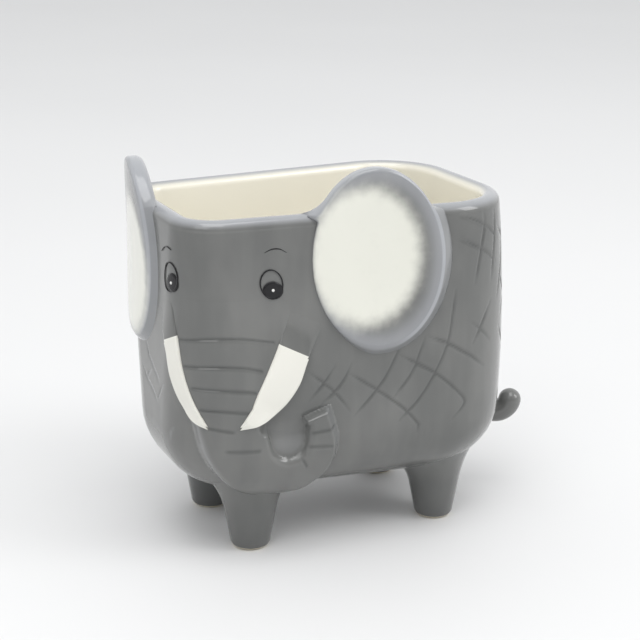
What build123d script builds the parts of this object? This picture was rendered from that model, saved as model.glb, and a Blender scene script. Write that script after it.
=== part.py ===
from build123d import *
from math import acos, atan2, cos, degrees, hypot, radians, sin
import os

# A small glazed planter in the shape of an elephant. The pot is a hollow rounded box, a little
# narrower at its front. The head is turned to the elephant's left, so the face, with the trunk and
# the tusks, lies over the front left corner. +Z is up, -Y is the front and +X the elephant's left.
# The origin is under the middle of the whole planter, on the surface that it stands on.

# Pot, in millimetres
rim_height = 123.7
front_width = 70.4
rear_width = 83
pot_length = 125.3
front_corner = 15.3
lower_front_corner = 27
rear_corner = 27
wall = 6.6
bulge = 2.4
bulge_height = 64
belly_height = 20.2
bottom_round = 25
overrun = 1

# Shares that shape the pot: the lip's rounding on the wall, and the levels that the walls are
# drawn at.
lip_share = 0.45
wall_level_shares = (0, 0.25, 0.5, 0.75, 1)
rounding_angles = (90, 67.5, 45, 22.5)
outer_lip_angles = (30, 60, 90)
inner_lip_angles = (30, 60, 75)

# Ears, oval slabs with their middles so far below the rim
ear_width = 46.2
ear_height = 63
ear_thickness = 6.5
ear_edge = 2.6
left_ear_along = 3.8
left_ear_drop = 16.3
left_ear_stand = 3.1
left_ear_facing = 80
left_ear_lean = 5
right_ear_in = 18.2
right_ear_drop = 19
right_ear_stand = 1.4
right_ear_facing = -8.5
right_ear_lean = 8

# Face: which way it looks, and its middle line's place from the centre of the front left corner
face_facing = 62
face_past_corner = 5.9
face_depth = 15
trunk_relief = 5
tusk_stand = 2.2

# Trunk: its top, its curl and the hollow inside the curl, measured from the face's middle line
trunk_top = 94.7
trunk_top_width = 26
trunk_cheek = 82.7
trunk_cheek_width = 36
curl_middle = 20.6
curl_height = 43.6
curl_radius = 18
curl_hollow = 6.5
curl_hollow_rise = 4
curl_tip_angle = 42
curl_low_angle = -95
trunk_chin = 29
trunk_chin_left = 4.2
trunk_bend_left = 13.6
trunk_bend_height = 49

# Tusks: half distances from the face's middle line and heights
tusk_tip_out = 5.3
tusk_tip_height = 53.2
tusk_inner_out = 18
tusk_inner_height = 82
left_tusk_outer_out = 27.7
left_tusk_outer_height = 75.2
right_tusk_outer_out = 23.6
right_tusk_outer_height = 80
tusk_root_rise = 10
tusk_root_out = 2
tusk_inner_bow = 1
tusk_outer_bow = 5.2

# Legs, with their middles so far in from the pot's sides and so far along from its front and rear
front_leg_in = 15.4
rear_leg_in = 18.5
front_leg_along = 28.8
rear_leg_along = 23.1
foot_radius = 7.3
foot_edge = 2.8
leg_top_radius = 11.2
leg_reach_share = 0.6

# Tail
tail_height = 30.7
tail_radius = 4.4
tail_run = 14
tail_bend = 6
tail_swing = 35
tail_curl = 80

# Drain hole and its stopper
drain_radius = 6
drain_clearance = 0.05
stopper_flange = 2.5
stopper_thickness = 2
grip_radius = 3
grip_length = 3

round_start = belly_height + bottom_round
lip_radius = lip_share * wall
lip_start = rim_height - lip_radius


def plan(height, inward, inset):
    """The pot's outline at a height, moved inward, and drawn in by the belly's rounding."""
    swell = bulge * (1 - ((height - bulge_height) / (rim_height - bulge_height)) ** 2)
    depth_share = (rim_height - height) / (rim_height - round_start)
    front_half = front_width / 2 - inward
    rear_half = rear_width / 2 + swell - inward
    corner = front_corner + (lower_front_corner - front_corner) * depth_share - inward
    front_radius = corner * (1 - inset / front_half)
    rear_radius = (rear_corner - inward) * (1 - inset / rear_half)
    front_x = front_half - inset - front_radius
    rear_x = rear_half - inset - rear_radius
    front_y = inward + inset + front_radius - pot_length / 2
    rear_y = pot_length / 2 + swell - inward - inset - rear_radius
    run_x = rear_x - front_x
    run_y = rear_y - front_y
    slope = (front_radius - rear_radius) / hypot(run_x, run_y)
    lean = degrees(atan2(run_y, run_x) - acos(slope))
    corners = [
        CenterArc((front_x, front_y), front_radius, -90, 90 + lean),
        CenterArc((rear_x, rear_y), rear_radius, lean, 90 - lean),
        CenterArc((-rear_x, rear_y), rear_radius, 90, 90 - lean),
        CenterArc((-front_x, front_y), front_radius, 180 - lean, 90 + lean),
    ]
    edges = []
    for corner, following in zip(corners, corners[1:] + corners[:1]):
        edges += [corner, Line(corner @ 1, following @ 0)]
    return Face(Wire(edges))


def pot_form(inward_low, inward_rim, lip_side):
    """The pot's filled form, with its walls moved inward, by amounts given low down and at the rim.

    The lip rounds inward where lip_side is 1 and outward where it is -1.
    """
    levels = []
    rounding = bottom_round - inward_low
    for angle in rounding_angles:
        inset = rounding * (1 - cos(radians(angle)))
        drop = rounding * sin(radians(angle))
        levels.append(Pos(0, 0, round_start - drop) * plan(round_start, inward_low, inset))
    for level_share in wall_level_shares:
        height = round_start + level_share * (lip_start - round_start)
        inward = inward_low + level_share * (inward_rim - inward_low)
        levels.append(Pos(0, 0, height) * plan(height, inward, 0))
    for angle in outer_lip_angles if lip_side > 0 else inner_lip_angles:
        height = lip_start + lip_radius * sin(radians(angle))
        inward = inward_rim + lip_side * lip_radius * (1 - cos(radians(angle)))
        levels.append(Pos(0, 0, height) * plan(height, inward, 0))
    return loft(levels)


def largest(shape):
    """The main solid of a cut shape."""
    return max(shape.solids(), key=lambda solid: solid.volume)


outer = pot_form(0, 0, 1)


def make_pot():
    """The hollow body with its rounded lip and drain hole."""
    cavity = pot_form(wall, wall, -1)
    mouth = extrude(cavity.faces().sort_by(Axis.Z)[-1], lip_radius)
    drain = Pos(0, 0, belly_height) * extrude(Circle(drain_radius), wall + overrun, both=True)
    return largest(outer - (cavity + mouth + drain))


pot_body = make_pot()


def side_x(along, height):
    """How far out the left side wall is at a height, at a place along the pot."""
    side = plan(height, 0, 0).edges().filter_by(GeomType.LINE).sort_by(Axis.X)[-1]
    start, end = side @ 0, side @ 1
    return start.X + (along - start.Y) * (end.X - start.X) / (end.Y - start.Y)


def upright_plane(middle, facing):
    """A plane that stands upright and faces so many degrees from the front towards the left."""
    turn = radians(facing)
    return Plane(middle, x_dir=(cos(turn), sin(turn), 0), z_dir=(sin(turn), -cos(turn), 0))


def make_ear(middle, facing, lean):
    """An oval slab with rounded edges, seated on the pot's wall."""
    oval = upright_plane(middle, facing) * Rot(0, 0, lean) * Ellipse(ear_width / 2, ear_height / 2)
    slab = extrude(oval, amount=-ear_thickness)
    slab = fillet(slab.edges(), ear_edge)
    return largest(slab - pot_body)


# The face's plane, inside the pot, with the face's middle line at zero
face_corner = (front_width / 2 - front_corner, front_corner - pot_length / 2, 0)
face_plane = upright_plane(face_corner, face_facing) * Pos(face_past_corner, 0, -face_depth)


def relief(outline, low, high):
    """A raised shape on the face: an outline pushed out to a form that stands off the pot."""
    block = extrude(face_plane * outline, pot_length / 2)
    return (block & pot_form(-low, -high, 1)) - outer


def around_curl(radius, angle, rise=0):
    """A point round the trunk's curl, at an angle from straight to the elephant's left."""
    return (curl_middle + radius * cos(radians(angle)), curl_height + rise + radius * sin(radians(angle)))


def make_trunk():
    """The trunk, down from between the tusks and round into a curl."""
    tip_out = around_curl(curl_radius, curl_tip_angle)
    tip_in = around_curl(curl_hollow, curl_tip_angle, curl_hollow_rise)
    chin = (-trunk_chin_left, trunk_chin)
    curl_low = around_curl(curl_radius, curl_low_angle)
    curl_outside = around_curl(curl_radius, (curl_low_angle + curl_tip_angle) / 2)
    throat = around_curl(curl_hollow, 180, curl_hollow_rise)
    hollow_low = around_curl(curl_hollow, -90, curl_hollow_rise)
    left_side = Spline((-trunk_top_width / 2, trunk_top), (-trunk_cheek_width / 2, trunk_cheek),
                       (-trunk_bend_left, trunk_bend_height), chin)
    outline = [
        left_side,
        Line(chin, curl_low),
        ThreePointArc(curl_low, curl_outside, tip_out),
        Line(tip_out, tip_in),
        ThreePointArc(tip_in, hollow_low, throat),
        Line(throat, (trunk_cheek_width / 2, trunk_cheek)),
        Line((trunk_cheek_width / 2, trunk_cheek), (trunk_top_width / 2, trunk_top)),
        Line((trunk_top_width / 2, trunk_top), (-trunk_top_width / 2, trunk_top)),
    ]
    return largest(relief(make_face(outline), trunk_relief, 0))


def make_tusk(side, outer_out, outer_height):
    """A crescent beside the trunk, with its root above it on the cheek."""
    tip = (side * tusk_tip_out, tusk_tip_height)
    inner = (side * tusk_inner_out, tusk_inner_height)
    outer_top = (side * outer_out, outer_height)
    inner_root = (side * (tusk_inner_out + tusk_root_out), tusk_inner_height + tusk_root_rise)
    outer_root = (side * (outer_out + tusk_root_out), outer_height + tusk_root_rise)
    inner_middle = ((tip[0] + inner[0]) / 2 + side * tusk_inner_bow, (tip[1] + inner[1]) / 2)
    outer_middle = ((tip[0] + outer_top[0]) / 2 + side * tusk_outer_bow, (tip[1] + outer_top[1]) / 2)
    outline = [
        Spline(tip, inner_middle, inner, inner_root),
        Line(inner_root, outer_root),
        Spline(outer_root, outer_top, outer_middle, tip),
    ]
    shape = relief(make_face(outline), trunk_relief + tusk_stand, tusk_stand)
    return largest(shape - trunk)


def make_leg(out, along):
    """A short leg that widens upward into the belly, and into the trunk where that hangs low."""
    reach = belly_height + leg_reach_share * bottom_round
    profile = Polyline((0, 0), (foot_radius, 0), (leg_top_radius, reach), (0, reach), (0, 0))
    leg = revolve(Plane.XZ * make_face(profile))
    foot = leg.edges().sort_by(Axis.Z)[0]
    leg = fillet(foot, foot_edge)
    return largest(Pos(out, along, 0) * leg - outer - trunk)


def make_tail():
    """A thick tail that leaves the rump, swings to the left and curls up."""
    swing = radians(tail_swing)
    rump = (0, pot_length / 2, tail_height)
    heading = Plane(rump, x_dir=(sin(swing), cos(swing), 0), z_dir=(cos(swing), -sin(swing), 0))
    run = Line((-tail_run / 2, 0), (tail_run, 0))
    curl = CenterArc((tail_run, tail_bend), tail_bend, -90, tail_curl)
    path = heading * Wire([run, curl])
    tube = sweep(Plane(path @ 0, z_dir=path % 0) * Circle(tail_radius), path)
    tail = tube + Pos(path @ 1) * Sphere(tail_radius)
    return largest(tail - outer)


def make_stopper():
    """A rubber stopper pushed up into the drain hole from below, with a grip to pull it by."""
    stem = extrude(Circle(drain_radius - drain_clearance), wall)
    flange = extrude(Circle(drain_radius + stopper_flange), -stopper_thickness)
    grip = extrude(Circle(grip_radius), -stopper_thickness - grip_length)
    return Pos(0, 0, belly_height) * (stem + flange + grip)


trunk = make_trunk()
left_ear_height = rim_height - left_ear_drop
left_ear_out = side_x(left_ear_along, left_ear_height) + left_ear_stand
left_ear_place = (left_ear_out, left_ear_along, left_ear_height)
right_ear_across = front_width / 2 - right_ear_in
right_ear_out = pot_length / 2 + right_ear_stand
right_ear_place = (-right_ear_across, -right_ear_out, rim_height - right_ear_drop)
front_leg_out = front_width / 2 - front_leg_in
rear_leg_out = rear_width / 2 - rear_leg_in
front_leg_y = front_leg_along - pot_length / 2
rear_leg_y = pot_length / 2 - rear_leg_along

pieces = {
    "pot_body": pot_body,
    "left_ear": make_ear(left_ear_place, left_ear_facing, left_ear_lean),
    "right_ear": make_ear(right_ear_place, right_ear_facing, right_ear_lean),
    "trunk": trunk,
    "left_tusk": make_tusk(1, left_tusk_outer_out, left_tusk_outer_height),
    "right_tusk": make_tusk(-1, right_tusk_outer_out, right_tusk_outer_height),
    "front_left_leg": make_leg(front_leg_out, front_leg_y),
    "front_right_leg": make_leg(-front_leg_out, front_leg_y),
    "rear_left_leg": make_leg(rear_leg_out, rear_leg_y),
    "rear_right_leg": make_leg(-rear_leg_out, rear_leg_y),
    "tail": make_tail(),
    "drain_plug": make_stopper(),
}

# The whole planter is moved so that the origin lies under its middle.
box = Compound(children=[Compound(piece.solids()) for piece in pieces.values()]).bounding_box()
to_middle = Pos(-box.center().X, -box.center().Y, 0)
print("moved by", to_middle.position, "size", box.size)

os.makedirs("parts", exist_ok=True)
for name, piece in pieces.items():
    export_step(to_middle * piece, f"parts/{name}.step")
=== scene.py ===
# %% [markdown]
# An elephant planter in grey glaze.
# The imported model is the frame that everything here is built around, so it is loaded first. The
# finished visual model may not grow past it.

# %% Load the frame
from math import cos, pi, radians, sin

import bmesh
import bpy
import numpy as np
from mathutils import Matrix, Vector


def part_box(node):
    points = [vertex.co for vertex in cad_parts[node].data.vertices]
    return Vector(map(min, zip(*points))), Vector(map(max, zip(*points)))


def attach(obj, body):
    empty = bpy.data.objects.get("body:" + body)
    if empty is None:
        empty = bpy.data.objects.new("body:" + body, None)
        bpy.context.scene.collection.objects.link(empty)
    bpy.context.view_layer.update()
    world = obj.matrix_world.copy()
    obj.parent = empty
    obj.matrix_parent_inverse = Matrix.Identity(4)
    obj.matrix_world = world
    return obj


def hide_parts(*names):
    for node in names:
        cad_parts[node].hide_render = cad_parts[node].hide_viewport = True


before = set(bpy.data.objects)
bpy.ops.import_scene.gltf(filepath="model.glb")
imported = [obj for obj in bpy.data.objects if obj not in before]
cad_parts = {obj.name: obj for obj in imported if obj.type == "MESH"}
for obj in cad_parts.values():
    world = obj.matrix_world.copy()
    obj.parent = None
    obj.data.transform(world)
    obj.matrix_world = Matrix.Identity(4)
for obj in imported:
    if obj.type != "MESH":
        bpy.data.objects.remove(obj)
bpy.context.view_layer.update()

print("nodes:", ", ".join(sorted(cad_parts)))

# %% [markdown]
# The pot was cast in a mould, so its wall follows one rule all the way round. The same rule is
# written here as a map: a place along the wall and a height give a point on it. Everything on the
# wall, from the trunk to the painted eyes, is then placed in millimetres along and up, as a
# potter would mark it out with a tape. The distance along starts at the front end of the left
# side, runs back, and is negative round the front left corner, where the face is.

# %% Sizes of the pot, in millimetres
MM = 0.001
rim_height = 123.7
front_width = 70.4
rear_width = 83
pot_length = 125.3
front_corner = 15.3
lower_front_corner = 27
rear_corner = 27
wall_thickness = 6.6
bulge = 2.4
bulge_height = 64
belly_height = 20.2
bottom_round = 25
drain_radius = 6
round_start = belly_height + bottom_round
lip_radius = wall_thickness / 2
lip_start = rim_height - lip_radius

drain_low, drain_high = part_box("drain_plug")
pot_axis = (drain_low + drain_high) / 2
pot_axis.z = 0
print("the pot's upright axis is at", [round(value, 5) for value in pot_axis])


# %% The outline of the pot at a height
def outline_knots(height, inward, inset):
    """Centre, radius and direction of the outline, where its straight and round stretches meet."""
    swell = bulge * (1 - ((height - bulge_height) / (rim_height - bulge_height)) ** 2)
    depth_share = (rim_height - height) / (rim_height - round_start)
    front_half = front_width / 2 - inward
    rear_half = rear_width / 2 + swell - inward
    corner = front_corner + (lower_front_corner - front_corner) * depth_share - inward
    front_radius = corner * (1 - inset / front_half)
    rear_radius = (rear_corner - inward) * (1 - inset / rear_half)
    front_x = front_half - inset - front_radius
    rear_x = rear_half - inset - rear_radius
    front_y = inward + inset + front_radius - pot_length / 2
    rear_y = pot_length / 2 + swell - inward - inset - rear_radius
    run = np.hypot(rear_x - front_x, rear_y - front_y)
    lean = np.arctan2(rear_y - front_y, rear_x - front_x) - np.arccos((front_radius - rear_radius) / run)
    flat = 0 * lean
    front = (front_y, front_radius)
    rear = (rear_y, rear_radius)
    return np.array([
        (front_x, *front, lean),
        (rear_x, *rear, lean),
        (rear_x, *rear, flat + pi / 2),
        (-rear_x, *rear, flat + pi / 2),
        (-rear_x, *rear, pi - lean),
        (-front_x, *front, pi - lean),
        (-front_x, *front, flat + 3 * pi / 2),
        (front_x, *front, flat + 3 * pi / 2),
        (front_x, *front, 2 * pi + lean),
    ])


def outline_lengths():
    """How long each stretch of the outline is at the rim."""
    knots = outline_knots(np.float64(rim_height), 0, 0)
    centres, radii, directions = knots[:, :2], knots[:, 2], knots[:, 3]
    ends = centres + radii[:, None] * np.stack([np.cos(directions), np.sin(directions)], 1)
    straight = np.hypot(*np.diff(ends, axis=0).T)
    turned = radii[:-1] * np.diff(directions)
    return np.where(turned > 0, turned, straight)


stretch_ends = np.concatenate([[0], np.cumsum(outline_lengths())])
girth = stretch_ends[-1]
side_length = stretch_ends[1]
rear_start, rear_end, front_start = stretch_ends[2], stretch_ends[3], stretch_ends[5]
rear_middle = (rear_start + rear_end) / 2
print("girth at the rim", round(girth, 1), "mm, each side", round(side_length, 1), "mm")


# %% A point on the wall
lowest_share = 0.999


def outline_point(along, height, inward, inset):
    """Place and direction of the outline at a distance along it."""
    along = np.mod(along, girth)
    stretch = np.clip(np.searchsorted(stretch_ends, along, side="right") - 1, 0, len(stretch_ends) - 2)
    share = (along - stretch_ends[stretch]) / np.diff(stretch_ends)[stretch]
    knots = outline_knots(height, inward, inset)
    every = np.arange(len(along))
    start = knots[stretch, :, every].T
    end = knots[stretch + 1, :, every].T
    x, y, radius, direction = start + (end - start) * share
    return x + radius * np.cos(direction), y + radius * np.sin(direction), direction


def wall_point(along, height, out=0.0):
    """Points on the pot's outside, raised off it by so much, down to nearly the flat of the belly."""
    values = [np.asarray(value, float) for value in (along, height, out)]
    along, height, out = np.broadcast_arrays(*values)
    drop = np.clip(round_start - height, 0, lowest_share * bottom_round)
    tilt = np.arcsin(drop / bottom_round)
    level = np.maximum(height, round_start)
    x, y, direction = outline_point(along, level, 0 * level, bottom_round * (1 - np.cos(tilt)))
    flat = np.cos(tilt) * out
    x, y = x + flat * np.cos(direction), y + flat * np.sin(direction)
    return np.stack([x, y, height - np.sin(tilt) * out], 1)


# %% Small tools for meshes
merge_distance = 0.002


def grid(columns, rows):
    """A flat grid of faces, and how far across and up each corner lies, from 0 to 1."""
    mesh = bmesh.new()
    bmesh.ops.create_grid(mesh, x_segments=columns, y_segments=rows, size=0.5)
    places = np.array([vert.co[:2] for vert in mesh.verts]) + 0.5
    return mesh, places[:, 0], places[:, 1]


def move(mesh, points):
    """Puts every corner of a mesh at its point."""
    for vert, point in zip(mesh.verts, points):
        vert.co = point


def corner_places(mesh):
    """Where the corners of a mesh are: every x, every y and every z."""
    return np.array([vert.co for vert in mesh.verts]).T


def mark(mesh, name, values):
    """Keeps a number at every corner, for a material to read."""
    layer = mesh.verts.layers.float.new(name)
    for vert, value in zip(mesh.verts, values):
        vert[layer] = value


def ease(low, high, value):
    """Goes smoothly from 0 at one value to 1 at another."""
    share = np.clip((value - low) / (high - low), 0, 1)
    return share * share * (3 - 2 * share)


def smooth_line(points, places):
    """Places on a smooth line through a few points: 0 is on the first point, 1 on the second."""
    points = np.array(points, float)
    lengths = np.linalg.norm(np.diff(points, axis=0), axis=1)
    knots = np.concatenate([[0], np.cumsum(np.sqrt(lengths))])
    slopes = np.gradient(points, knots, axis=0)
    span = np.clip(places.astype(int), 0, len(points) - 2)
    width = np.diff(knots)[span][:, None]
    t = (places - span)[:, None]
    return ((1 + 2 * t) * (1 - t) ** 2 * points[span] + t * (1 - t) ** 2 * width * slopes[span]
            + t * t * (3 - 2 * t) * points[span + 1] + t * t * (t - 1) * width * slopes[span + 1])


def drawn(points):
    """The whole of a smooth line, in short straight pieces."""
    pieces_per_point = 6
    return smooth_line(points, np.linspace(0, len(points) - 1, pieces_per_point * len(points)))


def line_distance(line, x, y):
    """How far places are from a line of straight pieces."""
    nearest = np.full(x.shape, np.inf)
    for (x0, y0), (x1, y1) in zip(line[:-1], line[1:]):
        run_x, run_y = x1 - x0, y1 - y0
        run_squared = max(run_x ** 2 + run_y ** 2, 1e-9)
        share = np.clip(((x - x0) * run_x + (y - y0) * run_y) / run_squared, 0, 1)
        nearest = np.minimum(nearest, np.hypot(x - x0 - share * run_x, y - y0 - share * run_y))
    return nearest


def inside(line, x, y):
    """Which places a closed line goes round."""
    within = np.zeros(x.shape, bool)
    for (x0, y0), (x1, y1) in zip(line, np.roll(line, -1, axis=0)):
        crosses = (y0 > y) != (y1 > y)
        if y0 != y1:
            within ^= crosses & (x < x0 + (y - y0) * (x1 - x0) / (y1 - y0))
    return within


def finish_piece(name, mesh, material, body, node):
    """Turns a mesh in millimetres about the pot's axis into a piece of the planter."""
    bmesh.ops.remove_doubles(mesh, verts=mesh.verts[:], dist=merge_distance)
    bmesh.ops.recalc_face_normals(mesh, faces=mesh.faces[:])
    to_metres = Matrix.Translation(pot_axis) @ Matrix.Scale(MM, 4)
    bmesh.ops.transform(mesh, matrix=to_metres, verts=mesh.verts[:])
    data = bpy.data.meshes.new(name)
    mesh.to_mesh(data)
    mesh.free()
    data.shade_smooth()
    data.materials.append(material)
    piece = bpy.data.objects.new(name, data)
    bpy.context.scene.collection.objects.link(piece)
    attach(piece, body)
    if node:
        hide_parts(node)
    print(name, len(data.polygons), "faces")
    return piece


# %% [markdown]
# A glaze is a thin coat of coloured glass, so its look comes from the shader: a clear gloss, a
# colour that pools darker in hollows and breaks paler where the coat runs thin on an edge, and a
# skin that is never quite even. The same marks also carry painted light: painted shade on the
# legs, and a painted highlight along the front creases, in the trunk's hollow and on the ears'
# edges. The pieces carry those places as numbers on their corners, and the material reads them.
# Shader maths is easier to read as expressions, so one small class lets Python's operators add
# the nodes.

# %% Shader expressions
class Wire:
    """A shader socket that Python's operators work on: each one adds its node."""

    def __init__(self, socket):
        self.socket = socket

    def node(self, kind, settings, inputs, output=0):
        """Adds a node of any kind: settings first, then values or wires for its sockets."""
        tree = self.socket.id_data
        node = tree.nodes.new(kind)
        for name, value in settings.items():
            setattr(node, name, value)
        for name, value in inputs.items():
            if isinstance(value, Wire):
                tree.links.new(value.socket, node.inputs[name])
            else:
                node.inputs[name].default_value = value
        return Wire(node.outputs[output])

    def math(self, operation, first, second):
        return self.node("ShaderNodeMath", {"operation": operation}, {0: first, 1: second})

    def __add__(self, other):
        return self.math("ADD", self, other)

    def __sub__(self, other):
        return self.math("SUBTRACT", self, other)

    def __rsub__(self, other):
        return self.math("SUBTRACT", other, self)

    def __mul__(self, other):
        return self.math("MULTIPLY", self, other)

    __radd__ = __add__
    __rmul__ = __mul__

    def between(self, low, high):
        """0 at a low value, 1 at a high one, and smooth between."""
        settings = {"interpolation_type": "SMOOTHSTEP"}
        inputs = {"Value": self, "From Min": low, "From Max": high}
        return self.node("ShaderNodeMapRange", settings, inputs)

    def tint(self, colour_at_0, colour_at_1):
        """Mixes two colours by this value, at the Mix node's sockets for colours."""
        inputs = {0: self, 6: colour_at_0, 7: colour_at_1}
        return self.node("ShaderNodeMix", {"data_type": "RGBA"}, inputs, 2)

    def noise(self, scale, detail):
        """A soft cloud pattern over places, with so many clouds to the metre."""
        return self.node("ShaderNodeTexNoise", {}, {"Vector": self, "Scale": scale, "Detail": detail})

    def kept(self, name):
        """A number that a piece keeps at its corners."""
        return self.node("ShaderNodeAttribute", {"attribute_name": name}, {}, "Fac")


def new_material(name):
    """A material with its shader and a wire that carries the place on the object."""
    material = bpy.data.materials.new(name)
    material.use_nodes = True
    tree = material.node_tree
    shader = tree.nodes["Principled BSDF"]
    return material, shader, Wire(tree.nodes.new("ShaderNodeTexCoord").outputs["Object"])


def feed(shader, inputs):
    """Sets or links the sockets of a shader."""
    for name, value in inputs.items():
        if isinstance(value, Wire):
            shader.id_data.links.new(value.socket, shader.inputs[name])
        else:
            shader.inputs[name].default_value = value


# %% Glazes
grey = (0.172, 0.174, 0.168, 1)
deep_grey = (0.133, 0.136, 0.132, 1)
# Darker glaze where it pools, also used as painted shade on the legs.
pooled_and_shade_grey = (0.060, 0.062, 0.062, 1)
# Paler where the glaze runs thin, also used for painted highlights.
thin_and_highlight_grey = (0.46, 0.475, 0.51, 1)
cream = (0.88, 0.85, 0.75, 1)
ear_white = (0.81, 0.81, 0.73, 1)
tusk_white = (0.82, 0.81, 0.745, 1)
bisque = (0.72, 0.66, 0.52, 1)
foot_line = 0.0011
cloud_scale, run_scale, brush_scale, skin_scale, grain_scale = 24, 110, 260, 140, 900
run_stretch = (1, 1, 0.25)
grey_range = (0.37, 0.63)


def toned(colour, share):
    """A colour times a share, still opaque."""
    return tuple(share * part for part in colour[:3]) + (1,)


def glaze(name, white, brushed, soft):
    """Grey glaze over cast clay, with a white painted under it where a piece says so."""
    material, shader, place = new_material(name)
    clouds = place.noise(cloud_scale, 3)
    drawn_out = place.node("ShaderNodeVectorMath", {"operation": "MULTIPLY"}, {0: place, 1: run_stretch})
    runs = drawn_out.noise(run_scale, 2)
    colour = (0.65 * clouds + 0.35 * runs).between(*grey_range).tint(deep_grey, grey)
    # The thin mark is glaze running thin on the lip and edges, and painted highlight on the front
    # creases, the trunk's hollow and the ears' edges.
    colour = place.kept("thin").tint(colour, thin_and_highlight_grey)
    # The pooled mark darkens glaze pooled in creases and under the rim, and is painted shade on the legs.
    colour = place.kept("pooled_and_shade").tint(colour, pooled_and_shade_grey)
    strokes = brushed * (place.noise(brush_scale, 3) - 0.5)
    painted_white = (place.kept("white") + strokes).between(0.5 - soft, 0.5 + soft)
    colour = painted_white.tint(colour, clouds.tint(white, toned(white, 0.94)))
    colour = place.kept("inside").tint(colour, clouds.tint(cream, toned(cream, 0.95)))
    height = place.node("ShaderNodeSeparateXYZ", {}, {0: place}, "Z")
    bare = 1 - height.between(0.7 * foot_line, foot_line)
    colour = bare.tint(colour, bisque)
    skin = place.noise(skin_scale, 2) + 0.35 * place.noise(grain_scale, 2)
    bump = {"Strength": 0.05, "Distance": 0.0006, "Height": skin}
    feed(shader, {
        "Base Color": colour,
        "Roughness": 0.10 + 0.08 * clouds + 0.5 * bare,
        "Normal": place.node("ShaderNodeBump", {}, bump),
        "Coat Weight": 0.25 * (1 - bare),
        "Coat Roughness": 0.04,
        "IOR": 1.5,
    })
    return material


grey_glaze = glaze("grey_glaze", tusk_white, brushed=0.0, soft=0.1)
ear_glaze = glaze("ear_glaze", ear_white, brushed=0.35, soft=0.5)
tusk_glaze = glaze("tusk_glaze", tusk_white, brushed=0.02, soft=0.1)
print("glazes:", grey_glaze.name, ear_glaze.name, tusk_glaze.name)


# %% Enamel and rubber
enamel_black, enamel_white = (0.012, 0.012, 0.013, 1), (0.62, 0.62, 0.60, 1)
rubber_dark, rubber_pale = (0.045, 0.045, 0.047, 1), (0.075, 0.075, 0.078, 1)
stroke_scale, rubber_scale, rubber_grain_scale = 700, 90, 2600


def enamel(name, colour):
    """Brushed on ceramic paint under the clear glaze."""
    material, shader, place = new_material(name)
    strokes = place.noise(stroke_scale, 3)
    feed(shader, {
        "Base Color": strokes.tint(colour, toned(colour, 1.6)),
        "Roughness": 0.08 + 0.1 * strokes,
        "Specular IOR Level": 0.25,
    })
    return material


def rubber(name):
    """Moulded grey rubber with a fine matt grain."""
    material, shader, place = new_material(name)
    grain = place.noise(rubber_grain_scale, 3)
    bump = {"Strength": 0.2, "Distance": 0.0002, "Height": grain}
    feed(shader, {
        "Base Color": place.noise(rubber_scale, 2).tint(rubber_dark, rubber_pale),
        "Roughness": 0.55 + 0.25 * grain,
        "Normal": place.node("ShaderNodeBump", {}, bump),
    })
    return material


black_enamel = enamel("black_enamel", enamel_black)
white_enamel = enamel("white_enamel", enamel_white)
stopper_rubber = rubber("stopper_rubber")
print("other finishes:", black_enamel.name, white_enamel.name, stopper_rubber.name)

# %% [markdown]
# Fine lines are scratched into the clay of the sides before glazing, in two slanting families
# that cross like the creases of an elephant's skin. A texture could fake them, but they catch
# light as real grooves, so they are pressed into the wall's own mesh. Each line is a few places
# along and up the wall. The right side and the back mirror the left, and the right side has a few
# lines more where the left has its ear. A line is shallower towards its ends, as a scratch is.

# %% Scratched creases
crease_depth = 0.5
crease_width = 0.7
crease_end_length, crease_end_share = 6, 0.3
side_creases = [
    [(84, 120), (89, 118), (95, 115), (103, 109)],
    [(83, 112), (88, 109.5), (93.5, 106.5), (101, 101)],
    [(94.3, 120), (94.7, 115.6), (92.6, 108), (89.3, 95)],
    [(101.3, 119.5), (101.2, 112.6), (100, 105.4), (97.8, 95.3)],
    [(81.5, 93.5), (80.5, 86.2), (78.6, 75), (74, 64.6), (67.4, 55), (59.2, 47.4)],
    [(69.5, 77.5), (67.6, 72.6), (64.5, 65.5), (57.2, 56.7)],
    [(60, 76), (57, 70), (53.7, 64.5), (48.5, 58.5), (41, 51.3)],
    [(70.8, 77.7), (78.3, 74.8), (87.6, 69), (94.3, 63.9)],
    [(59.6, 72), (66, 68.5), (73.8, 64), (83, 56.4), (86.4, 52), (85.7, 50), (82, 46)],
    [(39.5, 67), (47.8, 61.6), (56.4, 55.5), (62, 51), (70.4, 42)],
    [(23.6, 69.2), (29.4, 64.4), (33, 61), (39, 53.5)],
    [(34.2, 70.3), (31, 66.2), (23, 58.2)],
    [(40.5, 70.7), (38, 66), (33.4, 61), (28, 57)],
    [(97.2, 87.3), (93.2, 81), (88.7, 73.2)],
    [(88, 81), (92.6, 77.5), (97.2, 73)],
]
front_creases = [
    [(-53, 74), (-49, 69), (-39.3, 65), (-28.5, 61.5)],
    [(-62.5, 63.4), (-54, 59), (-44, 57), (-33, 54)],
    [(-44, 64), (-55, 59)],
    [(-22.4, 62), (-33, 54)],
    [(-18, 48), (-20, 42)],
]
rear_creases = [
    [(104, 113), (116, 103), (126, 91), (133, 80)],
    [(104, 96), (114, 84), (121, 72)],
    [(112, 118), (108, 102), (102, 88)],
    [(122, 106), (115, 92), (106, 80)],
    [(128, 92), (121, 80), (110, 66)],
    [(104, 76), (113, 66), (120, 56)],
]
right_creases = [
    [(20, 118), (33, 110), (47, 99), (58, 86)],
    [(24, 104), (36, 96), (48, 85)],
    [(52, 120), (44, 106), (33, 90), (24, 80)],
    [(64, 116), (55, 100), (45, 84)],
    [(72, 104), (64, 92), (54, 80)],
]


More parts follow.
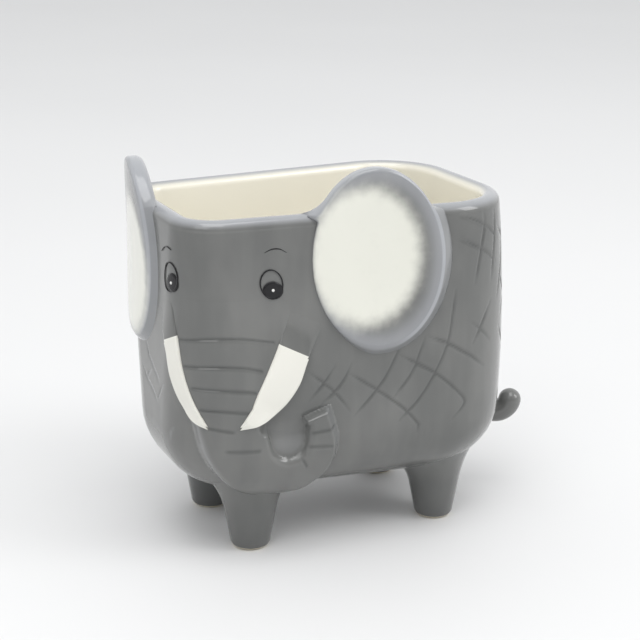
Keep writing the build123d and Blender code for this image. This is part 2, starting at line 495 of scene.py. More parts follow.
def crease(along, height):
    """How deep the scratched creases are at places on the wall, from 0 to 1."""
    depth = np.zeros(along.shape)
    from_front = np.where(along > front_start, along - girth, along)
    mirrored = 2 * rear_middle - along
    for across, lines in ((from_front, side_creases + front_creases + rear_creases),
                          (mirrored, side_creases + rear_creases + right_creases)):
        for line in lines:
            path = drawn(line)
            low, high = path.min(0) - crease_width, path.max(0) + crease_width
            near = (across > low[0]) & (across < high[0]) & (height > low[1]) & (height < high[1])
            x, y = across[near], height[near]
            to_start = np.hypot(x - path[0, 0], y - path[0, 1])
            to_end = np.hypot(x - path[-1, 0], y - path[-1, 1])
            full = ease(0, crease_end_length, np.minimum(to_start, to_end))
            cut = 1 - ease(0, crease_width, line_distance(path, x, y))
            cut *= crease_end_share + (1 - crease_end_share) * full
            depth[near] = np.maximum(depth[near], cut)
    return depth


print(len(side_creases + front_creases + rear_creases + right_creases), "creases drawn")

# %% [markdown]
# The pot itself is a hollow cast shell with a rounded lip and a drain hole. Its section is a
# closed loop and so is its outline, so one grid rolled up both ways makes the whole shell with no
# seam: the rows follow the section from the drain hole over the outside to the lip and back down
# the inside, and the columns go round. Each row of the section keeps five numbers: its height, the
# height whose outline it follows, how far it lies in from the outside, how far the rounded bottom
# draws it in, and how far it is gathered to the drain hole.

# %% The pot's section
belly_rows, rounding_rows, wall_rows, lip_rows, inner_rows = 4, 11, 112, 7, 8
round_turns = np.linspace(pi / 2, 0, rounding_rows, endpoint=False)
lip_turns = np.linspace(0, pi / 2, lip_rows)
inner_round = bottom_round - wall_thickness
section = []
for share in np.linspace(1, 0, belly_rows, endpoint=False):
    section.append((belly_height, round_start, 0, bottom_round, share))
for turn in round_turns:
    drop, inset = bottom_round * sin(turn), bottom_round * (1 - cos(turn))
    section.append((round_start - drop, round_start, 0, inset, 0))
for height in np.linspace(round_start, lip_start, wall_rows, endpoint=False):
    section.append((height, height, 0, 0, 0))
for turn in lip_turns:
    height = lip_start + lip_radius * sin(turn)
    section.append((height, height, lip_radius * (1 - cos(turn)), 0, 0))
for turn in lip_turns[-2::-1]:
    height = lip_start + lip_radius * sin(turn)
    section.append((height, height, wall_thickness - lip_radius * (1 - cos(turn)), 0, 0))
for height in np.linspace(lip_start, round_start, inner_rows, endpoint=False)[1:]:
    section.append((height, height, wall_thickness, 0, 0))
for turn in round_turns[::-1]:
    drop, inset = inner_round * sin(turn), inner_round * (1 - cos(turn))
    section.append((round_start - drop, round_start, wall_thickness, inset, 0))
for share in np.linspace(0, 1, belly_rows)[1:]:
    section.append((belly_height + wall_thickness, round_start, wall_thickness, inner_round, share))
section.append((belly_height, round_start, 0, bottom_round, 1))
section = np.array(section)
print(len(section), "rows")

# %% The pot's columns
left_step, right_step, front_step = 0.55, 0.6, 0.75


def steps(start, end, step):
    """Evenly spaced places along the wall, without the last."""
    return np.linspace(start, end, round((end - start) / step), endpoint=False)


columns_along = np.concatenate([
    steps(0, rear_start, left_step), steps(rear_start, front_start, right_step),
    steps(front_start, girth, front_step), [girth],
])
print(len(columns_along), "columns")

# %% The pot
crease_low = round_start - 4
# The front creases carry a painted highlight along them.
crease_pool, front_crease_share, front_crease_highlight = 0.55, 0.6, 0.5
rim_pool, rim_pool_reach = 0.2, (3, 30)
lip_thin, lip_thin_reach = 0.5, (lip_start + 0.5, rim_height - 0.3)
inside_fade_rows = 3


def make_pot():
    """The hollow body, with its creases pressed in."""
    mesh, across, up = grid(len(columns_along) - 1, len(section) - 1)
    along = columns_along[np.rint(across * (len(columns_along) - 1)).astype(int)]
    row = np.rint(up * (len(section) - 1)).astype(int)
    height, level, inward, inset, gather = section[row].T
    x, y, direction = outline_point(along, level, inward, inset)
    hole = np.arctan2(y, x)
    x = x + (drain_radius * np.cos(hole) - x) * gather
    y = y + (drain_radius * np.sin(hole) - y) * gather
    outside = (inward == 0) & (height > crease_low) & (height < lip_start)
    cut = np.zeros(along.shape)
    cut[outside] = crease(along[outside], height[outside])
    on_front = along > front_start
    cut = np.where(on_front, front_crease_share, 1) * cut
    x -= crease_depth * cut * np.cos(direction)
    y -= crease_depth * cut * np.sin(direction)
    move(mesh, np.stack([x, y, height], 1))
    inner_row = belly_rows + rounding_rows + wall_rows + lip_rows
    under_rim = rim_pool * (1 - ease(*rim_pool_reach, lip_start - height)) * outside
    mark(mesh, "pooled_and_shade", np.maximum(under_rim, np.where(on_front, 0, crease_pool) * cut))
    mark(mesh, "inside", ease(inner_row, inner_row + inside_fade_rows, row))
    on_lip = ease(*lip_thin_reach, height) * (row < inner_row + inside_fade_rows)
    # Painted highlight: the front creases are marked paler; the lip's paler band is the glaze running
    # thin.
    mark(mesh, "thin", np.maximum(lip_thin * on_lip, np.where(on_front, front_crease_highlight, 0) * cut))
    return finish_piece("planter_pot", mesh, grey_glaze, "planter", "pot_body")


make_pot()

# %% [markdown]
# The trunk and the tusks are modelled on the wall in low relief. A grid laid on the wall's map
# and raised by a height at every place gives that: the heights come from how far a place lies
# inside the trunk's drawn outline, so the sides round over as pressed clay does, and the creases
# across the trunk are cut into the same heights.

# %% The trunk's outline and creases, along and up the wall
trunk_relief, trunk_fade = 4.3, (58, 98)
trunk_left = [
    (-16, 104), (-20, 90), (-20, 82), (-17.5, 71), (-14.5, 60), (-13.1, 51.6), (-11.6, 42),
    (-9.5, 34), (-7, 28), (-2, 23.5), (5, 22),
]
trunk_bottom = [
    (5, 22), (14, 21.6), (22, 23), (27.5, 27.2), (32, 32), (34.4, 38), (34.8, 44), (33.6, 50.5),
    (31.9, 56.8),
]
trunk_hollow = [(20.8, 50), (18.4, 41.5), (13.1, 39.7), (7.5, 42.5), (5.6, 50)]
trunk_right = [(5.8, 52), (8, 58), (12, 67), (19, 82), (20, 92), (16, 104)]
trunk_creases = [
    [(-15, 82.4), (-4.8, 84), (11.3, 81.6)],
    [(-13, 73.7), (-4, 74.4), (5.5, 72.3)],
    [(-11, 66.5), (-4.8, 66.4), (2, 65)],
    [(-9.3, 59.2), (-5, 59), (-0.7, 58)],
    [(-8, 52.6), (-4, 51.4)],
    [(-5, 44.2), (1, 44)],
    [(21, 48.2), (32.6, 49)],
    [(20.5, 43.5), (30, 42.8)],
    [(17, 41.2), (20.2, 36.8)],
]
trunk_tip = [trunk_bottom[-1], (20.2, 53.2)]
left_line, bottom_line, hollow_line, right_line = [
    drawn(line) for line in (trunk_left, trunk_bottom, trunk_hollow, trunk_right)]
trunk_edge = np.concatenate([left_line, bottom_line, trunk_tip, hollow_line, right_line, left_line[:1]])
hollow_edge = np.concatenate([hollow_line, [(5.8, 53), trunk_tip[1]]])
hollow_floor, hollow_fade = 1.5, (42, 53)
print("the trunk's edge has", len(trunk_edge), "points, and", len(trunk_creases), "creases cross it")

# %% The trunk's skin
left_soft, bottom_soft, right_soft = 4, 4.5, 5
hollow_round, tip_round, hollow_lap = 3, 1.4, 2.5


def rounded(edge, depth):
    """A quarter round from 0 at an edge to 1 at some way in from it."""
    return np.sqrt(1 - (1 - np.clip(depth / edge, 0, 1)) ** 2)


def relief_height(height):
    """How far the trunk stands off the wall at a height."""
    return trunk_relief * (1 - ease(*trunk_fade, height))


def trunk_skin(along, height):
    """How far the trunk's smooth skin stands off the wall, and how soft its edge is."""
    soft = np.minimum(ease(0, left_soft, line_distance(left_line, along, height)),
                      ease(0, bottom_soft, line_distance(bottom_line, along, height)))
    to_hollow = line_distance(hollow_line, along, height)
    to_tip = line_distance(trunk_tip, along, height)
    crisp = np.minimum(rounded(hollow_round, to_hollow), rounded(tip_round, to_tip))
    crisp = np.minimum(crisp, ease(0, right_soft, line_distance(right_line, along, height)))
    within = inside(trunk_edge, along, height)
    raised = np.where(within, relief_height(height) * np.minimum(soft, crisp), 0)
    beside_hollow = within & (to_hollow < hollow_lap) & (height < hollow_fade[1])
    in_hollow = inside(hollow_edge, along, height) | beside_hollow
    floor = hollow_floor * (1 - ease(*hollow_fade, height))
    return np.where(in_hollow, np.maximum(raised, floor), raised), soft


# %% The trunk
trunk_crease_depth, trunk_crease_width, trunk_crease_fade = 0.4, 0.8, (0.5, 2.5)
trunk_pool, trunk_thin = 0.5, 0.5
# Painted light in the trunk's hollow: how much paler it is, and where it fades out.
hollow_painted_light, hollow_border, hollow_painted_light_fade = 0.08, 2, (43, 52)
trunk_seat, trunk_sink, trunk_border, trunk_thickness = 0.02, 0.4, 1.2, 1.5


def make_trunk():
    """A relief that grows out of the forehead, narrows between the tusks and curls."""
    low, high, front, rear, step = 20.6, 105, -24, 38.5, 0.45
    mesh, across, up = grid(int((rear - front) / step), int((high - low) / step))
    along = front + (rear - front) * across
    height = low + (high - low) * up
    raised, soft = trunk_skin(along, height)
    within = inside(trunk_edge, along, height) | inside(hollow_edge, along, height)
    depth = line_distance(trunk_edge, along, height)
    cut = np.zeros(along.shape)
    for line in trunk_creases:
        to_line = line_distance(drawn(line), along, height)
        cut = np.maximum(cut, 1 - ease(0, trunk_crease_width, to_line))
    cut *= ease(*trunk_crease_fade, depth)
    skin = raised - trunk_crease_depth * cut - trunk_seat
    move(mesh, wall_point(along, height, np.where(within, skin, -trunk_sink - trunk_sink * depth)))
    mark(mesh, "pooled_and_shade", trunk_pool * cut * within)
    thin = np.where(within, trunk_thin * soft * (1 - soft), 0) * relief_height(height) / trunk_relief
    # Painted light: the trunk's hollow is marked a little paler, against the shade that falls in it.
    to_hollow = line_distance(hollow_line, along, height)
    in_hollow = inside(hollow_edge, along, height) * ease(0, hollow_border, to_hollow)
    in_hollow = hollow_painted_light * in_hollow * (1 - ease(*hollow_painted_light_fade, height))
    mark(mesh, "thin", np.maximum(thin, in_hollow))
    outside = (depth > trunk_border) & ~within
    buried = [vert for vert, is_outside in zip(mesh.verts, outside) if is_outside]
    bmesh.ops.delete(mesh, geom=buried, context="VERTS")
    bmesh.ops.solidify(mesh, geom=mesh.faces[:], thickness=trunk_thickness)
    return finish_piece("trunk_relief", mesh, grey_glaze, "planter", "trunk")


make_trunk()

# %% [markdown]
# Each tusk is a flat crescent of clay laid beside the trunk, white to where it leaves the cheek,
# with its grey root running on above and fading into the cheek. It is drawn by its inner and
# outer edges. The grid's columns cross from one edge to the other and its rows run from the tip
# to the root.

# %% The tusks' edges, along and up the wall
left_tusk_inner = [(-2.6, 53.2), (1, 61.4), (7.3, 71.1), (13.2, 80.8), (19.5, 94)]
left_tusk_outer = [(-2.6, 53.2), (5.4, 55.3), (12.9, 59.6), (19.4, 66.6), (23.8, 75.2), (31.5, 88)]
right_tusk_inner = [(-8.3, 53.2), (-10.8, 61.7), (-13.3, 71.9), (-15.8, 83.4), (-21, 98)]
right_tusk_outer = [(-8.3, 53.2), (-11.8, 56.4), (-14.1, 60.6), (-17.4, 69.3), (-20.6, 80), (-30, 93)]

# %% The tusks
white_rows, root_rows, tusk_columns, border_columns = 70, 34, 30, 2
tusk_stand, tip_stand_share, tip_rows = 0.9, 0.3, 8
outer_drop, outer_drop_reach = 0.45, (0.1, 0.45)
face_squareness, root_fall = 16, 1.5
root_sink, border_sink, edge_sink, tusk_thickness = 0.1, 1.2, 0.25, 1.0


def tusk_edge(points):
    """One edge of a tusk: the white part, to the last point but one, and then its root."""
    white_end = len(points) - 2
    white_part = np.linspace(0, white_end, white_rows + 1)
    root_part = np.linspace(white_end, white_end + 1, root_rows + 1)
    return smooth_line(points, np.concatenate([white_part, root_part[1:]]))


def make_tusk(name, node, inner, outer):
    """A flat crescent with its grey root."""
    rows = white_rows + root_rows
    mesh, across, up = grid(tusk_columns, rows)
    row = np.rint(up * rows).astype(int)
    column = np.rint(across * tusk_columns)
    from_inner = np.clip((column - border_columns) / (tusk_columns - 2 * border_columns), 0, 1)
    side = (1 - np.cos(from_inner * pi)) / 2
    inner_edge, outer_edge = tusk_edge(inner)[row], tusk_edge(outer)[row]
    along, height = (inner_edge + (outer_edge - inner_edge) * side[:, None]).T
    face = np.sqrt(1 - np.abs(2 * side - 1) ** face_squareness)
    root = np.clip((row - white_rows) / root_rows, 0, 1)
    level = relief_height(height) * (1 - outer_drop * side * ease(*outer_drop_reach, row / white_rows))
    level = level + tusk_stand * face * (tip_stand_share + (1 - tip_stand_share) * ease(0, tip_rows, row))
    out = level * (1 - root) ** root_fall - root_sink * root
    from_border = np.minimum(column, tusk_columns - column)
    out = np.where(from_border == 0, -border_sink, np.where(from_border == 1, out - edge_sink, out))
    move(mesh, wall_point(along, height, out))
    mark(mesh, "white", (row <= white_rows) & (from_border > 1))
    bmesh.ops.solidify(mesh, geom=mesh.faces[:], thickness=tusk_thickness)
    return finish_piece(name, mesh, tusk_glaze, "planter", node)


make_tusk("tusk_left", "left_tusk", left_tusk_inner, left_tusk_outer)
make_tusk("tusk_right", "right_tusk", right_tusk_inner, right_tusk_outer)

# %% [markdown]
# The ears are oval slabs with a shallow dish, luted to the wall and standing above the rim. An
# oval with a rounded edge is a turned shape that has been squeezed, so a half section is spun into
# a disc and stretched to the oval, and the right ear is bent a little. The white of the dish fades
# into the grey at the edge, as an airbrush leaves it. A potter smooths soft clay over such a join,
# so behind its face the edge slopes out to the wall in a skirt, with a small web above the rim.

# %% Sizes of the ears
ear_width, ear_height, ear_thickness = 46.2, 63, 6.5
ear_dish, ear_dish_reach, ear_skirt, ear_web = 0.8, (0.3, 0.92), 4, 6
front_edge_depth, front_edge_share, back_edge_depth, back_edge_share = 1.5, 0.05, 2.8, 0.1
face_steps, edge_steps, side_steps, back_steps, ear_turn_steps = 18, 7, 6, 8, 144
ear_settings = {
    "left": {"place": (42.86, 3.8, 107.4), "middle": 51, "facing": 80, "lean": 5, "curve": 0,
             "skirt": (-0.9, 0), "white": (-0.2, 0.05), "side_thin": 0.25},
    "right": {"place": (-18.7, -64.05, 104.7), "middle": -62, "facing": -10, "lean": 8, "curve": 1 / 90,
              "skirt": (-0.1, 0.3), "white": (0.05, -0.2), "side_thin": 0.4},
}


def ear_section():
    """Half of the ear's section: its dished face, its edge and its flat back."""
    turns = np.linspace(0, pi / 2, edge_steps)[1:]
    back_side = back_edge_depth - ear_thickness
    face = [(share, -ear_dish * (1 - ease(*ear_dish_reach, share)))
            for share in np.linspace(0, 1 - front_edge_share, face_steps)]
    front_edge = [(1 + front_edge_share * (sin(turn) - 1), front_edge_depth * (cos(turn) - 1))
                  for turn in turns]
    side = [(1, depth) for depth in np.linspace(-front_edge_depth, back_side, side_steps)[1:]]
    back_edge = [(1 + back_edge_share * (cos(turn) - 1), back_side - back_edge_depth * sin(turn))
                 for turn in turns]
    back = [(share, -ear_thickness) for share in np.linspace(1 - back_edge_share, 0, back_steps)[1:]]
    return face + front_edge + side + back_edge + back


print("an ear's half section has", len(ear_section()), "points")

# %% The ears' glaze
white_width, white_height, white_fade = 0.9, 0.81, (0.72, 1.16)
# The ear's edge above the rim is part thin glaze and part painted highlight; the corner band is a painted
# highlight.
above_rim_thin_and_highlight, face_thin, corner_highlight, thin_reach = 0.6, 0.45, 0.7, (0.7, 0.97)
rim_fade = 4
face_share, face_depth, face_fade = 0.93, -2, (-1.3, -0.3)
corner_share, corner_fade, corner_start, corner_side = 0.95, (-1.4, -0.7), (0, 0.1), (-0.4, 0.6)


def glaze_ear(mesh, height, white, side_thin):
    """Marks a disc of radius 1 where it is white, where its glaze runs thin, and where a highlight is
    painted on its edge.
    """
    across, up, depth = corner_places(mesh)
    from_middle = np.hypot(across, up)
    reach = np.hypot((across - white[0]) / white_width, (up - white[1]) / white_height)
    in_dish = (from_middle < face_share) & (depth > face_depth)
    on_face = np.where(in_dish, 1, ease(*face_fade, depth))
    above_rim = ease(rim_height - rim_fade, rim_height + rim_fade, height + up * ear_height / 2)
    # Above the rim the edge is paler, part thin glaze and part painted highlight.
    edge_thin_and_highlight = side_thin + (above_rim_thin_and_highlight - side_thin) * above_rim
    edge_thin_and_highlight = edge_thin_and_highlight + (face_thin - edge_thin_and_highlight) * on_face
    # Painted highlight: a pale band where the face's edge turns into the skirt.
    corner = ease(*corner_fade, depth) * ease(*corner_start, -depth) * (from_middle > corner_share)
    corner = corner_highlight * corner * ease(*corner_side, across)
    mark(mesh, "white", (1 - ease(*white_fade, reach)) * on_face)
    mark(mesh, "thin", ease(*thin_reach, from_middle) * np.maximum(edge_thin_and_highlight, corner))


# %% The ears' skirts
wall_reach, skirt_overrun, rim_blend, skirt_start = 60, 1.15, 2.5, 0.85


def wall_behind(place, facing, middle, across, up):
    """How far behind an ear's face the wall of the pot lies, looking along the wall about a middle."""
    angle = radians(facing)
    along = middle + np.linspace(-wall_reach, wall_reach, 2 * wall_reach + 1)
    depths = []
    for ear_across, height in zip(across, np.minimum(place[2] + up, rim_height)):
        x, y, z = wall_point(along, height).T - np.array(place)[:, None]
        wall_across, wall_depth = x * cos(angle) + y * sin(angle), y * cos(angle) - x * sin(angle)
        depths.append(np.interp(ear_across, wall_across, wall_depth))
    return np.array(depths)


def ear_flare(height, depth, to_wall, side_share):
    """How far the ear's edge slopes out: a skirt below the rim, and a web above it."""
    past_lip = np.clip(height - lip_start, 0, lip_radius)
    to_wall = to_wall + lip_radius - np.sqrt(lip_radius ** 2 - past_lip ** 2)
    flare = np.clip(-depth, 0, skirt_overrun * np.maximum(to_wall, 0)) * side_share
    above = np.clip((height - rim_height) / ear_web, 0, 1)
    web = ear_web * np.clip(-depth / np.maximum(to_wall, 1), 0, skirt_overrun)
    web *= 1 - np.sqrt(1 - (1 - above) ** 2)
    return flare + (web - flare) * ease(rim_height - rim_blend, rim_height, height)


# %% The ears
def make_ear(side, place, middle, facing, lean, curve, skirt, white, side_thin):
    """A dished oval slab on the wall, with a skirt of clay that joins it to the wall and the rim."""
    mesh = bmesh.new()
    corners = [mesh.verts.new((share, 0, depth)) for share, depth in ear_section()]
    edges = [mesh.edges.new(pair) for pair in zip(corners, corners[1:])]
    bmesh.ops.spin(mesh, geom=corners + edges, cent=(0, 0, 0), axis=(0, 0, 1), angle=2 * pi,
                   steps=ear_turn_steps, use_merge=True)
    bmesh.ops.remove_doubles(mesh, verts=mesh.verts[:], dist=0.0001)
    glaze_ear(mesh, place[2], white, side_thin)
    bmesh.ops.scale(mesh, vec=(ear_width / 2, ear_height / 2, 1), verts=mesh.verts[:])
    turn = Matrix.Rotation(radians(lean), 3, "Z")
    bmesh.ops.rotate(mesh, cent=(0, 0, 0), matrix=turn, verts=mesh.verts[:])
    across, up, depth = corner_places(mesh)
    out_x, out_y = across / ear_width ** 2, up / ear_height ** 2
    out = np.maximum(np.hypot(out_x, out_y), 0.0001)
    out_x, out_y = out_x / out, out_y / out
    bent = curve * across ** 2 / 2
    to_wall = wall_behind(place, facing, middle, across + ear_skirt * out_x, up + ear_skirt * out_y)
    flare = ear_flare(place[2] + up, depth, to_wall - bent, ease(*skirt, out_x))
    flare *= ease(skirt_start, 1, 2 * np.hypot(across / ear_width, up / ear_height))
    below_rim = 1 - ease(rim_height - rim_blend, rim_height, place[2] + up)
    across, up, depth = across + flare * out_x, up + flare * out_y * below_rim, depth - bent
    angle = radians(facing)
    x = place[0] + across * cos(angle) + depth * sin(angle)
    y = place[1] + across * sin(angle) - depth * cos(angle)
    move(mesh, np.stack([x, y, place[2] + up], 1))
    return finish_piece("ear_" + side, mesh, ear_glaze, "planter", side + "_ear")


for ear_side, settings in ear_settings.items():
    make_ear(ear_side, **settings)

# %% [markdown]
# The eyes and brows are brushed on in black under the glaze, with a white dot in each eye. Paint
# has next to no thickness, but as thin shapes of their own the lines stay crisp from close by, so
# each is a flat disc, ring or arc, laid on the wall by the same map.

# %% Painted lines
paint_out, paint_thickness = 0.10, 0.25
oval_corners = 48
brow_end_share = 0.25


def painted(name, mesh, place, out, material):
    """Lays a flat mesh, in millimetres along and up, on the wall as a coat of paint."""
    along, up, flat = corner_places(mesh)
    move(mesh, wall_point(place[0] + along, place[1] + up, out))
    bmesh.ops.recalc_face_normals(mesh, faces=mesh.faces[:])
    bmesh.ops.solidify(mesh, geom=mesh.faces[:], thickness=paint_thickness)
    return finish_piece(name, mesh, material, "planter", None)


def middle_face(mesh):
    """The face with the most corners, which is the one in the middle of a disc."""
    return max(mesh.faces, key=lambda face: len(face.verts))


def disc(width, height, rings):
    """A flat oval with a few rings of faces."""
    mesh = bmesh.new()
    bmesh.ops.create_circle(mesh, cap_ends=True, segments=oval_corners, radius=1)
    for inset in range(rings):
        bmesh.ops.inset_region(mesh, faces=[middle_face(mesh)], thickness=1 / (rings + 1),
                               use_even_offset=True, use_boundary=True)
    bmesh.ops.scale(mesh, vec=(width / 2, height / 2, 1), verts=mesh.verts[:])
    return mesh


def ring(width, height, line):
    """The brushed outline of an oval."""
    mesh = disc(width, height, 0)
    bmesh.ops.inset_region(mesh, faces=mesh.faces[:], thickness=line, use_even_offset=True,
                           use_boundary=True)
    bmesh.ops.delete(mesh, geom=[middle_face(mesh)], context="FACES_ONLY")
    return mesh


def brow(points, line):
    """A thin arc, thickest in its middle."""
    mesh, across, up = grid(24, 2)
    path = smooth_line(points, across * (len(points) - 1))
    thick = line * (brow_end_share + (1 - brow_end_share) * np.sin(pi * across))
    move(mesh, np.stack([path[:, 0], path[:, 1] + thick * (up - 0.5), 0 * up], 1))
    return mesh


# %% The eyes and brows
brush_line, fine_line = 0.42, 0.3
left_brow = [(11.9, 112.4), (14.5, 113.4), (17.3, 113.3), (19.7, 111.9)]
right_brow = [(-28.2, 110.3), (-25.5, 112.3), (-22.5, 113), (-19.9, 112.6)]
painted("eye_outline_left", ring(8.3, 10.3, brush_line), (13.2, 101.5), paint_out, black_enamel)
painted("eye_pupil_left", disc(7.2, 6.2, 3), (13.5, 99.3), paint_out, black_enamel)
painted("eye_light_left", disc(1.0, 1.0, 1), (13.5, 99.4), 2 * paint_out, white_enamel)
painted("eye_outline_right", ring(7.8, 10.7, brush_line), (-20.4, 102.9), paint_out, black_enamel)
painted("eye_pupil_right", disc(5.2, 6.6, 3), (-19, 101.3), paint_out, black_enamel)
painted("eye_light_right", disc(0.9, 1.0, 1), (-19.4, 101.1), 2 * paint_out, white_enamel)
painted("brow_left", brow(left_brow, brush_line), (0, 0), paint_out, black_enamel)
painted("brow_right", brow(right_brow, fine_line), (0, 0), paint_out, black_enamel)

# %% [markdown]
# The legs are short cones that flare into the belly. Their upper ring has to lie on the rounded
# belly, so a tube of rings is drawn from the foot, and each ring is blended from a level circle
# to one that follows the belly's own surface. The third number of a leg's place is how far it
# flares towards the side of the pot, where there is less room for it.

# %% Sizes of the legs
foot_radius, foot_edge, leg_top_radius, leg_flare = 7.3, 2.6, 11.2, 4.5
leg_columns, leg_rows, foot_rows, edge_rows, lid_rows = 64, 44, 4, 8, 2
flare_start, flare_round, leg_sink, lid_sink = 0.55, 0.98, 1, 2
# Painted shade on the legs: how dark it is, and over which share of the climb it fades out.
leg_shade, leg_shade_reach = 0.4, (0.5, 1)
leg_places = {
    "front_left_leg": (19.8, -33.85, 0.5),
    "front_right_leg": (-19.8, -33.85, 0.5),
    "rear_left_leg": (23, 39.55, 3.5),
    "rear_right_leg": (-23, 39.55, 3.5),
}
print(len(leg_places), "legs of", leg_rows, "rings")

# %% The underside of the belly
deepest_inset, halvings, belly_sides = 0.99 * bottom_round, 20, 120


def belly_under(x, y):
    """The height of the rounded belly's underside over places on the floor."""
    turns = np.linspace(0, 2 * pi, belly_sides, endpoint=False)
    ahead, aside = np.cos(turns)[:, None], np.sin(turns)[:, None]
    least, most = np.zeros(x.shape), np.full(x.shape, deepest_inset)
    for halving in range(halvings):
        inset = (least + most) / 2
        knots = outline_knots(0 * inset + round_start, 0 * inset, inset)
        edge = np.max([knot[0] * ahead + knot[1] * aside + knot[2] for knot in knots], axis=0)
        within = np.all(x * ahead + y * aside < edge, axis=0)
        least, most = np.where(within, inset, least), np.where(within, most, inset)
    return round_start - np.sqrt(bottom_round ** 2 - (bottom_round - least) ** 2)


# %% The legs
def make_leg(name, place):
    """A short leg with a rounded foot, flared into the belly, though less towards the pot's side."""
    mesh, across, up = grid(leg_columns, leg_rows)
    turn = 2 * pi * across
    row = np.rint(up * leg_rows)
    shank_start, shank_end = foot_rows + edge_rows, leg_rows - lid_rows
    flat = np.clip(row / foot_rows, 0, 1)
    edge = np.clip((row - foot_rows) / edge_rows, 0, 1) * pi / 2
    climb = np.clip((row - shank_start) / (shank_end - shank_start), 0, 1)
    flare = np.clip((climb - flare_start) / (1 - flare_start), 0, 1)
    radius = (foot_radius - foot_edge) * flat + foot_edge * np.sin(edge)
    widest = leg_flare + (place[2] - leg_flare) * ease(0, 1, np.cos(turn) * np.sign(place[0]))
    radius += (leg_top_radius - foot_radius) * climb
    radius += widest * (1 - np.sqrt(1 - flare_round * flare ** 2))
    x, y = place[0] + radius * np.cos(turn), place[1] + radius * np.sin(turn)
    start = foot_edge * (1 - np.cos(edge))
    height = start + (belly_under(x, y) + leg_sink - foot_edge) * climb
    lid = np.clip(row - shank_end, 0, lid_rows) / lid_rows
    x, y = x + (place[0] - x) * lid, y + (place[1] - y) * lid
    height = np.where(lid > 0, belly_under(x, y) + lid_sink, height)
    move(mesh, np.stack([x, y, height], 1))
    # Painted shade: the lower legs are darkened, fading out towards the belly, as the body shades them.
    mark(mesh, "pooled_and_shade", leg_shade * (1 - ease(*leg_shade_reach, climb)))
    return finish_piece(name + "_glazed", mesh, grey_glaze, "planter", name)


for leg_name, leg_place in leg_places.items():
    make_leg(leg_name, leg_place)

# %% [markdown]
# The tail is a rolled coil of clay, stuck to the rump and curled up at its end. Rings along its
# path make it: the path is a straight run and an arc, the rings thin towards the end and the last
# ones close in a dome.

# %% The tail
tail_height, tail_run, tail_bend, tail_swing, tail_curl = 30.7, 14, 6, 35, 80
tail_radius, tail_root_radius, tail_root_reach = 4.4, 5.6, (0.2, 0.6)
tail_columns, tail_rows, dome_rows = 40, 64, 12


def make_tail():
    """A thick tail that leaves the rump, swings to the left and curls up."""
    mesh, across, up = grid(tail_columns, tail_rows)
    row = np.rint(up * tail_rows)
    dome_start = tail_rows - dome_rows
    dome = np.clip((row - dome_start) / dome_rows, 0, 1) * pi / 2
    reach = np.clip(row / dome_start, 0, 1)
    buried = tail_run / 2
    length = buried + tail_run + radians(tail_curl) * tail_bend
    gone = reach * length - buried
    bend = np.clip((gone - tail_run) / tail_bend, 0, None)
    ahead = np.minimum(gone, tail_run) + tail_bend * np.sin(bend)
    rise = tail_bend * (1 - np.cos(bend))
    radius = tail_radius + (tail_root_radius - tail_radius) * (1 - ease(*tail_root_reach, reach))
    ahead = ahead + radius * np.sin(dome) * np.cos(bend)
    rise = rise + radius * np.sin(dome) * np.sin(bend)
    radius = radius * np.cos(dome)
    turn = 2 * pi * across
    ahead = ahead - radius * np.sin(turn) * np.sin(bend)
    rise = rise + radius * np.sin(turn) * np.cos(bend)
    aside = radius * np.cos(turn)
    swing = radians(tail_swing)
    x = ahead * sin(swing) + aside * cos(swing)
    y = pot_length / 2 + ahead * cos(swing) - aside * sin(swing)
    move(mesh, np.stack([x, y, tail_height + rise], 1))
    bmesh.ops.remove_doubles(mesh, verts=mesh.verts[:], dist=merge_distance)
    bmesh.ops.holes_fill(mesh, edges=mesh.edges[:], sides=0)
    return finish_piece("tail_coil", mesh, grey_glaze, "planter", "tail")


make_tail()

# %% [markdown]
# A rubber stopper closes the drain hole from below. It is a turned shape, so half of its section
# is spun.

# %% The drain stopper
stopper_flange, stopper_thickness, grip_radius, grip_length = 2.5, 2, 3, 3
stem_gap, stem_round, stopper_edge, grip_neck, grip_edge = 0.05, 1, 0.5, 0.7, 0.3
stopper_steps = 64


def make_stopper():
    """A stem, a flange and a grip to pull it by."""
    flange_radius = drain_radius + stopper_flange
    stem_radius = drain_radius - stem_gap
    neck_radius = grip_radius - grip_neck
    top, under = wall_thickness, -stopper_thickness
    section_points = [
        (0, top), (stem_radius - 0.8 * stem_round, top),
        (stem_radius - 0.2 * stem_round, top - 0.3 * stem_round), (stem_radius, top - stem_round),
        (stem_radius, 0), (flange_radius - stopper_edge, 0), (flange_radius, -stopper_edge),
        (flange_radius, under + stopper_edge), (flange_radius - stopper_edge, under),
        (grip_radius - grip_edge, under), (neck_radius, under - stopper_edge),
        (neck_radius, under - 0.55 * grip_length), (grip_radius, under - 0.7 * grip_length),
        (grip_radius, under - 0.9 * grip_length), (grip_radius - grip_edge, under - grip_length),
        (0, under - grip_length),
    ]
    mesh = bmesh.new()
    corners = [mesh.verts.new((radius, 0, belly_height + depth)) for radius, depth in section_points]
    edges = [mesh.edges.new(pair) for pair in zip(corners, corners[1:])]
    bmesh.ops.spin(mesh, geom=corners + edges, cent=(0, 0, 0), axis=(0, 0, 1), angle=2 * pi,
                   steps=stopper_steps, use_merge=True)
    return finish_piece("stopper", mesh, stopper_rubber, "stopper", "drain_plug")


make_stopper()

# %% [markdown]
# The studio is a pale floor under broad soft light. The floor is wide enough to fill the picture.
# A world of one even tone would leave the glaze without reflections to show its shape, so the
# world is brighter behind the pot than in front of it.

# %% The floor
floor_dark, floor_pale = (0.71, 0.71, 0.71, 1), (0.74, 0.74, 0.74, 1)
floor_scale, floor_reach = 3, 5


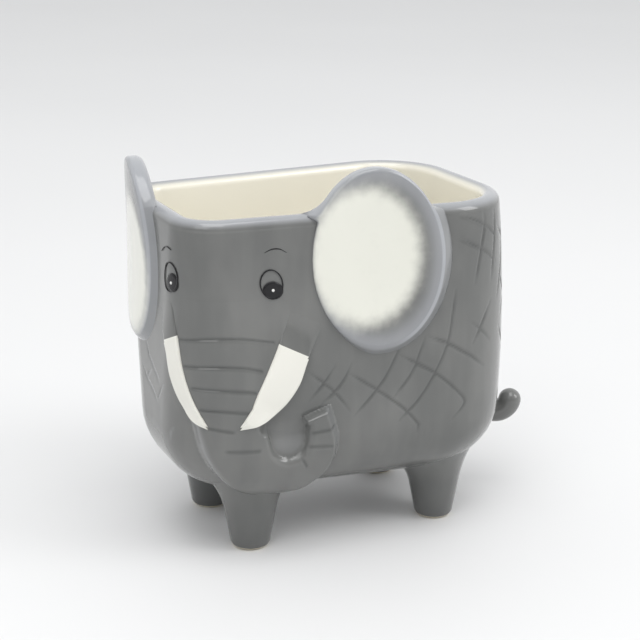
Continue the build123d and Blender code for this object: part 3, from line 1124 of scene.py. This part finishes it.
def make_floor():
    """A wide pale floor."""
    material, shader, place = new_material("pale_floor")
    tone = place.noise(floor_scale, 2)
    feed(shader, {"Base Color": tone.tint(floor_dark, floor_pale), "Roughness": 0.6})
    mesh = bmesh.new()
    bmesh.ops.create_grid(mesh, x_segments=4, y_segments=4, size=floor_reach)
    data = bpy.data.meshes.new("floor")
    mesh.to_mesh(data)
    mesh.free()
    data.materials.append(material)
    floor = bpy.data.objects.new("floor", data)
    bpy.context.scene.collection.objects.link(floor)
    print("the floor reaches", floor_reach, "m to each side")


make_floor()

# %% The world
behind_pot = (-0.72, 0.33, 0.61)
dim_light, bright_light = (0.27, 0.27, 0.28, 1), (1.18, 1.19, 1.2, 1)
world = bpy.data.worlds.new("studio")
bpy.context.scene.world = world
world.use_nodes = True
backdrop = world.node_tree.nodes["Background"]
direction = Wire(world.node_tree.nodes.new("ShaderNodeTexCoord").outputs["Generated"])
behind = direction.node("ShaderNodeVectorMath", {"operation": "DOT_PRODUCT"},
                        {0: direction, 1: behind_pot}, "Value")
feed(backdrop, {"Color": behind.between(-0.8, 0.5).tint(dim_light, bright_light), "Strength": 0.8})
print("the world is brightest towards", behind_pot)


# %% Soft boxes
lamp_aim = (0, 0, 0.06)


def soft_box(name, place, width, height, power):
    """A flat lamp that points at the middle of the pot."""
    lamp = bpy.data.lights.new(name, "AREA")
    lamp.shape = "RECTANGLE"
    lamp.size = width
    lamp.size_y = height
    lamp.energy = power
    box = bpy.data.objects.new(name, lamp)
    box.location = place
    box.rotation_euler = (Vector(lamp_aim) - Vector(place)).to_track_quat("-Z", "Y").to_euler()
    bpy.context.scene.collection.objects.link(box)
    print(name, power, "W")


soft_box("key_light", (0.8, -1.0, 0.9), width=0.9, height=0.9, power=3.4)
soft_box("side_light", (0.9, 1.1, 1.0), width=0.7, height=0.9, power=7.5)
soft_box("top_light", (0.5, -0.2, 1.6), width=1.2, height=1.2, power=12)

# %% [markdown]
# The camera stands where the photographer stood: in front of the elephant's left side and a
# little above it.

# %% The camera
camera_place = np.array((472.4, -222.3, 238.9))
camera_azimuth, camera_elevation, camera_roll = 64.57, 17.48, 0.68
picture_width, focal_pixels = 640, 1493.5


def make_camera():
    """A camera from its direction round the pot, its height angle and its roll."""
    azimuth, elevation, roll = radians(camera_azimuth), radians(camera_elevation), radians(camera_roll)
    right = Vector((cos(azimuth), sin(azimuth), 0))
    ahead = Vector((-sin(azimuth) * cos(elevation), cos(azimuth) * cos(elevation), -sin(elevation)))
    up = right.cross(ahead)
    level_right = cos(roll) * right + sin(roll) * up
    level_up = cos(roll) * up - sin(roll) * right
    lens = bpy.data.cameras.new("camera")
    lens.sensor_width = 36
    lens.lens = lens.sensor_width * focal_pixels / picture_width
    camera = bpy.data.objects.new("camera", lens)
    turn = Matrix((level_right, level_up, -ahead)).transposed().to_4x4()
    camera.matrix_world = Matrix.Translation(pot_axis + Vector(camera_place * MM)) @ turn
    bpy.context.scene.collection.objects.link(camera)
    bpy.context.scene.camera = camera


make_camera()
bpy.context.scene.view_settings.view_transform = "Standard"
